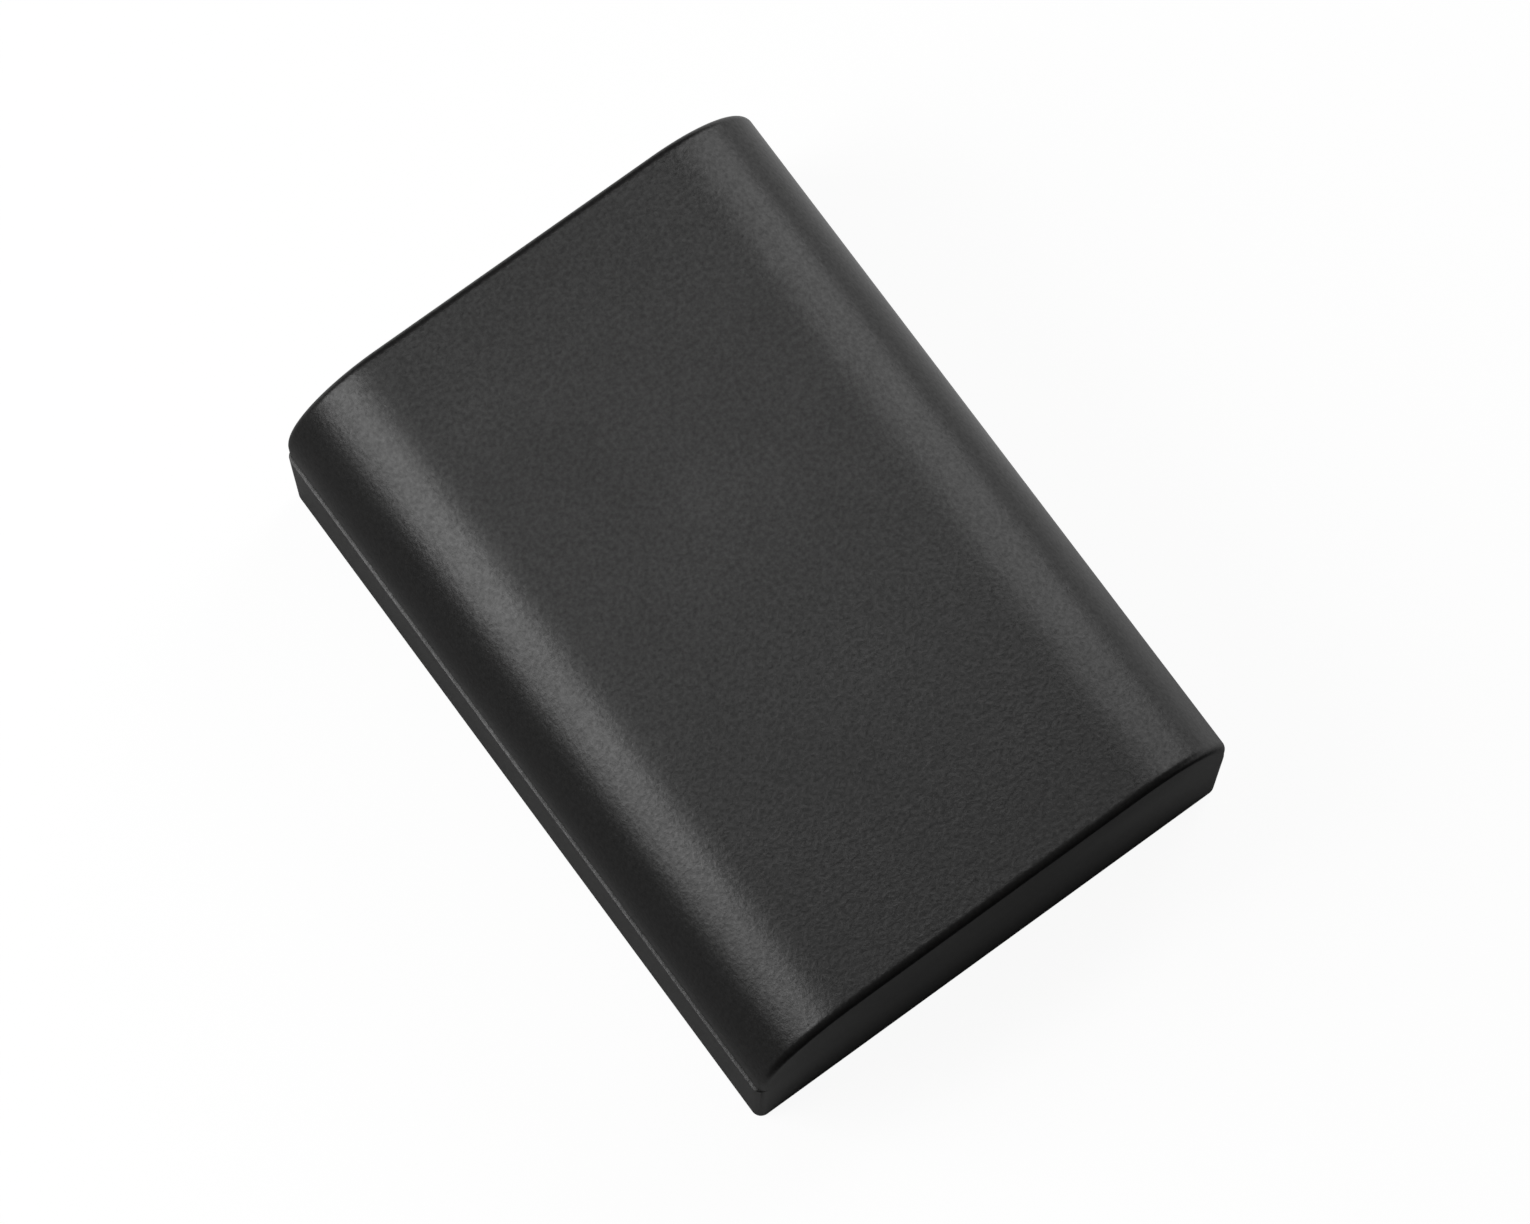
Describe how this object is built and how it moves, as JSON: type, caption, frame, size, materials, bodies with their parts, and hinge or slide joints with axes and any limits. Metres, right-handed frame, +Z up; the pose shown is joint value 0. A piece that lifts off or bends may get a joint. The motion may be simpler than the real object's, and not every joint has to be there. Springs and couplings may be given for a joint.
{
  "type": "camera battery",
  "caption": "Rechargeable camera battery pack: a black moulded block with a flat face, rounded long edges opposite it and recessed contacts at one end.",
  "frame": {"origin": "centre of the flat face that the pack lies on", "axes": "+Z up from the flat face to the rounded face, +Y along the pack towards its contact end, +X across it"},
  "size_m": [0.0396, 0.0552, 0.0215],
  "materials": {
    "upper_plastic": "fine spark-eroded grain, soft satin sheen",
    "lower_plastic": "fine spark-eroded grain, satin",
    "cell_sleeve": "steel can in a plain smooth sleeve",
    "nickel": "rolled nickel strip",
    "gold_plate": "bright gold plating",
    "board_laminate": "solder-masked glass laminate",
    "chip_body": "moulded epoxy",
    "ceramic_part": "fired ceramic with tinned ends",
    "insulating_paper": "pressed insulating paper",
    "foam": "soft closed-cell foam"
  },
  "bodies": {
    "root": {"upper_case": "upper_plastic", "lower_case": "lower_plastic", "cell_left": "cell_sleeve", "cell_right": "cell_sleeve", "insulator_ring_left": "insulating_paper", "insulator_ring_right": "insulating_paper", "series_link": "nickel", "positive_tab": "nickel", "negative_tab": "nickel", "end_insulator": "insulating_paper", "plain_end_insulator": "insulating_paper", "circuit_board": "board_laminate", "control_chip": "chip_body", "power_switch": "chip_body", "fuse": "ceramic_part", "thermistor": "ceramic_part", "capacitors": "ceramic_part", "resistors": "ceramic_part", "contact_positive": "gold_plate", "contact_data": "gold_plate", "contact_temperature": "gold_plate", "contact_negative": "gold_plate", "foam_pad_left": "foam", "foam_pad_right": "foam"}
  },
  "joints": []
}
